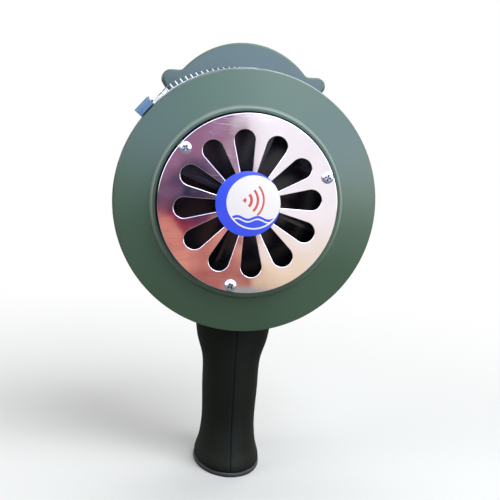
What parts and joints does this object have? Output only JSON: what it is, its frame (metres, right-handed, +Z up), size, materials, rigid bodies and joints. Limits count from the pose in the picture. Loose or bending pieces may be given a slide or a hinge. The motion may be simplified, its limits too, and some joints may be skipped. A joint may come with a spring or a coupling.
{
  "type": "hand crank siren",
  "caption": "Hand crank siren: a geared rotor behind a petal-slotted intake plate in a conical dish, with a slotted drum, a gear case, a rear crank and a moulded grip.",
  "frame": {"origin": "centre of the underside of the oval foot, on the ground", "axes": "+Z up, -Y out of the intake plate, +X to the right of a person facing the intake; rotor and crank turn about +Y"},
  "size_m": [0.1571, 0.1407, 0.2638],
  "materials": {
    "green_paint": "satin dark green enamel on cast aluminium",
    "polished_plate": "mirror-bright pressed steel",
    "label_film": "glossy blue and white film",
    "zinc_screw": "bright zinc plated steel",
    "stainless": "stainless steel strip",
    "cast_alloy": "cast aluminium, painted black",
    "machined_steel": "machined steel, oiled",
    "bearing_steel": "ground bearing steel",
    "bronze": "sintered bronze",
    "painted_arm": "black enamel on forged steel",
    "dark_plastic": "near-black moulded plastic",
    "pad_rubber": "black rubber"
  },
  "bodies": {
    "housing": {"front_dish": "green_paint", "intake_plate": "polished_plate", "label_disc": "label_film", "plate_screws": "zinc_screw", "stator_ring": "green_paint", "drum_back": "green_paint", "tie_screws": "zinc_screw", "clamp_band": "stainless", "clamp_housing": "stainless", "clamp_screw": "stainless", "front_bearing_outer": "bearing_steel", "front_bearing_balls": "bearing_steel", "rear_bearing_outer": "bearing_steel", "rear_bearing_balls": "bearing_steel", "gear_case": "green_paint", "gear_gasket": "pad_rubber", "gear_cover": "green_paint", "case_screws": "zinc_screw", "case_bolts": "zinc_screw", "idler_pin": "machined_steel", "idler_clip": "machined_steel", "front_bush": "bronze", "rear_bush": "bronze", "grip_right": "dark_plastic", "grip_left": "dark_plastic", "grip_screws": "zinc_screw", "grip_bracket": "machined_steel", "bracket_screws": "zinc_screw", "foot_pad": "pad_rubber"},
    "rotor": {"rotor": "cast_alloy", "rotor_shaft": "machined_steel", "rotor_washer": "zinc_screw", "rotor_nut": "zinc_screw", "front_spacer": "machined_steel", "rear_spacer": "machined_steel", "front_bearing_inner": "bearing_steel", "rear_bearing_inner": "bearing_steel", "rotor_pinion": "machined_steel"},
    "idler": {"idler_gear": "machined_steel", "idler_pinion": "machined_steel"},
    "crank": {"crank_gear": "machined_steel", "ratchet_wheel": "machined_steel", "ratchet_pawls": "machined_steel", "pawl_springs": "machined_steel", "pawl_pins": "machined_steel", "crank_shaft": "machined_steel", "crank_clip": "machined_steel", "crank_arm": "painted_arm", "crank_washer": "zinc_screw", "crank_nut": "zinc_screw", "knob_pin": "machined_steel", "knob_washer": "zinc_screw"},
    "knob": {"knob": "dark_plastic"}
  },
  "joints": [
    {"name": "crank_spin", "type": "hinge", "parent": "housing", "child": "crank", "pos_m": [0, 0.03, 0.214], "axis": [0, 1, 0], "continuous": true},
    {"name": "idler_spin", "type": "hinge", "parent": "housing", "child": "idler", "pos_m": [0.01978, 0.03, 0.18297], "axis": [0, 1, 0], "continuous": true},
    {"name": "rotor_spin", "type": "hinge", "parent": "housing", "child": "rotor", "pos_m": [0, 0, 0.168], "axis": [0, 1, 0], "continuous": true},
    {"name": "knob_spin", "type": "hinge", "parent": "crank", "child": "knob", "pos_m": [0, 0.07, 0.152], "axis": [0, 1, 0], "continuous": true}
  ],
  "couplings": [
    {"joint": "idler_spin", "follows": "crank_spin", "ratio": -6.6667},
    {"joint": "rotor_spin", "follows": "crank_spin", "ratio": 27.778}
  ]
}
